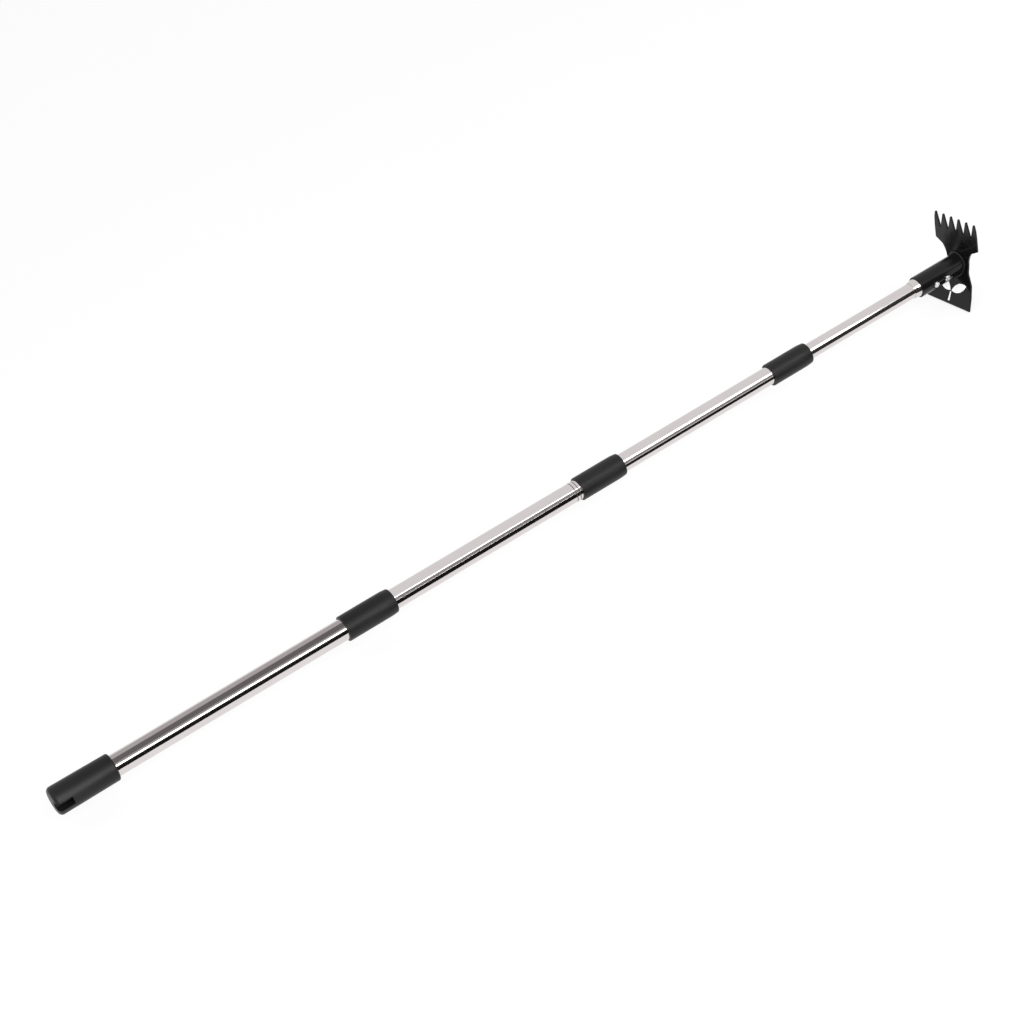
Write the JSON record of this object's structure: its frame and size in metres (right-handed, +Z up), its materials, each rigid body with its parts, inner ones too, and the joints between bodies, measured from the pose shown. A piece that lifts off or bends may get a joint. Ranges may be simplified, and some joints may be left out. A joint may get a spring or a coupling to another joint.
{
  "type": "telescopic hoe and rake",
  "caption": "Telescopic steel garden pole with black plastic collars and end grip, and a black bent-plate head with a toothed rake on one side and a hoe blade on the other.",
  "frame": {"origin": "centre of the grip's flat end face, on the pole's axis", "axes": "+X along the pole from the grip to the head, +Z up through the rake, +Y across the blade"},
  "size_m": [1.2454, 0.076, 0.1016],
  "materials": {
    "pole_steel": "polished stainless steel tube",
    "grip_plastic": "fine-textured moulded black plastic",
    "collar_plastic": "fine-textured moulded black plastic",
    "lock_plastic": "plain moulded black plastic",
    "expander_nylon": "natural white nylon",
    "zinc_steel": "bright zinc-plated steel",
    "wedge_brass": "turned brass",
    "head_paint": "gloss black paint on steel"
  },
  "bodies": {
    "handle": {"end_grip": "grip_plastic", "tube_1": "pole_steel", "collar_1": "collar_plastic"},
    "lock_2": {"expander_2": "expander_nylon"},
    "wedge_2": {"wedge_nut_2": "wedge_brass"},
    "stage_2": {"tube_2": "pole_steel", "lock_plug_2": "lock_plastic", "lock_stud_2": "zinc_steel", "lock_cap_2": "zinc_steel", "collar_2": "collar_plastic"},
    "lock_3": {"expander_3": "expander_nylon"},
    "wedge_3": {"wedge_nut_3": "wedge_brass"},
    "stage_3": {"tube_3": "pole_steel", "lock_plug_3": "lock_plastic", "lock_stud_3": "zinc_steel", "lock_cap_3": "zinc_steel", "collar_3": "collar_plastic"},
    "lock_4": {"expander_4": "expander_nylon"},
    "wedge_4": {"wedge_nut_4": "wedge_brass"},
    "stage_4": {"tube_4": "pole_steel", "lock_plug_4": "lock_plastic", "lock_stud_4": "zinc_steel", "lock_cap_4": "zinc_steel", "head_plate": "head_paint", "socket": "head_paint", "weld_bead": "head_paint", "reducer_sleeve": "pole_steel", "fixing_screw_1": "zinc_steel", "fixing_screw_2": "zinc_steel"}
  },
  "joints": [
    {"name": "extend_2", "type": "slide", "parent": "handle", "child": "lock_2", "axis": [1, 0, 0], "range_m": [-0.249, 0]},
    {"name": "twist_2", "type": "hinge", "parent": "lock_2", "child": "stage_2", "pos_m": [0.33, 0, 0], "axis": [1, 0, 0], "range_deg": [-270, 0]},
    {"name": "nut_2", "type": "slide", "parent": "lock_2", "child": "wedge_2", "axis": [1, 0, 0], "range_m": [0, 0.0024]},
    {"name": "extend_3", "type": "slide", "parent": "stage_2", "child": "lock_3", "axis": [1, 0, 0], "range_m": [-0.2125, 0]},
    {"name": "twist_3", "type": "hinge", "parent": "lock_3", "child": "stage_3", "pos_m": [0.64, 0, 0], "axis": [1, 0, 0], "range_deg": [-270, 0]},
    {"name": "nut_3", "type": "slide", "parent": "lock_3", "child": "wedge_3", "axis": [1, 0, 0], "range_m": [0, 0.0024]},
    {"name": "extend_4", "type": "slide", "parent": "stage_3", "child": "lock_4", "axis": [1, 0, 0], "range_m": [-0.1558, 0]},
    {"name": "twist_4", "type": "hinge", "parent": "lock_4", "child": "stage_4", "pos_m": [0.915, 0, 0], "axis": [1, 0, 0], "range_deg": [-270, 0]},
    {"name": "nut_4", "type": "slide", "parent": "lock_4", "child": "wedge_4", "axis": [1, 0, 0], "range_m": [0, 0.0024]}
  ],
  "couplings": [
    {"joint": "nut_2", "follows": "twist_2", "m_per_rad": -0.00047746},
    {"joint": "nut_3", "follows": "twist_3", "m_per_rad": -0.00047746},
    {"joint": "nut_4", "follows": "twist_4", "m_per_rad": -0.00047746}
  ]
}
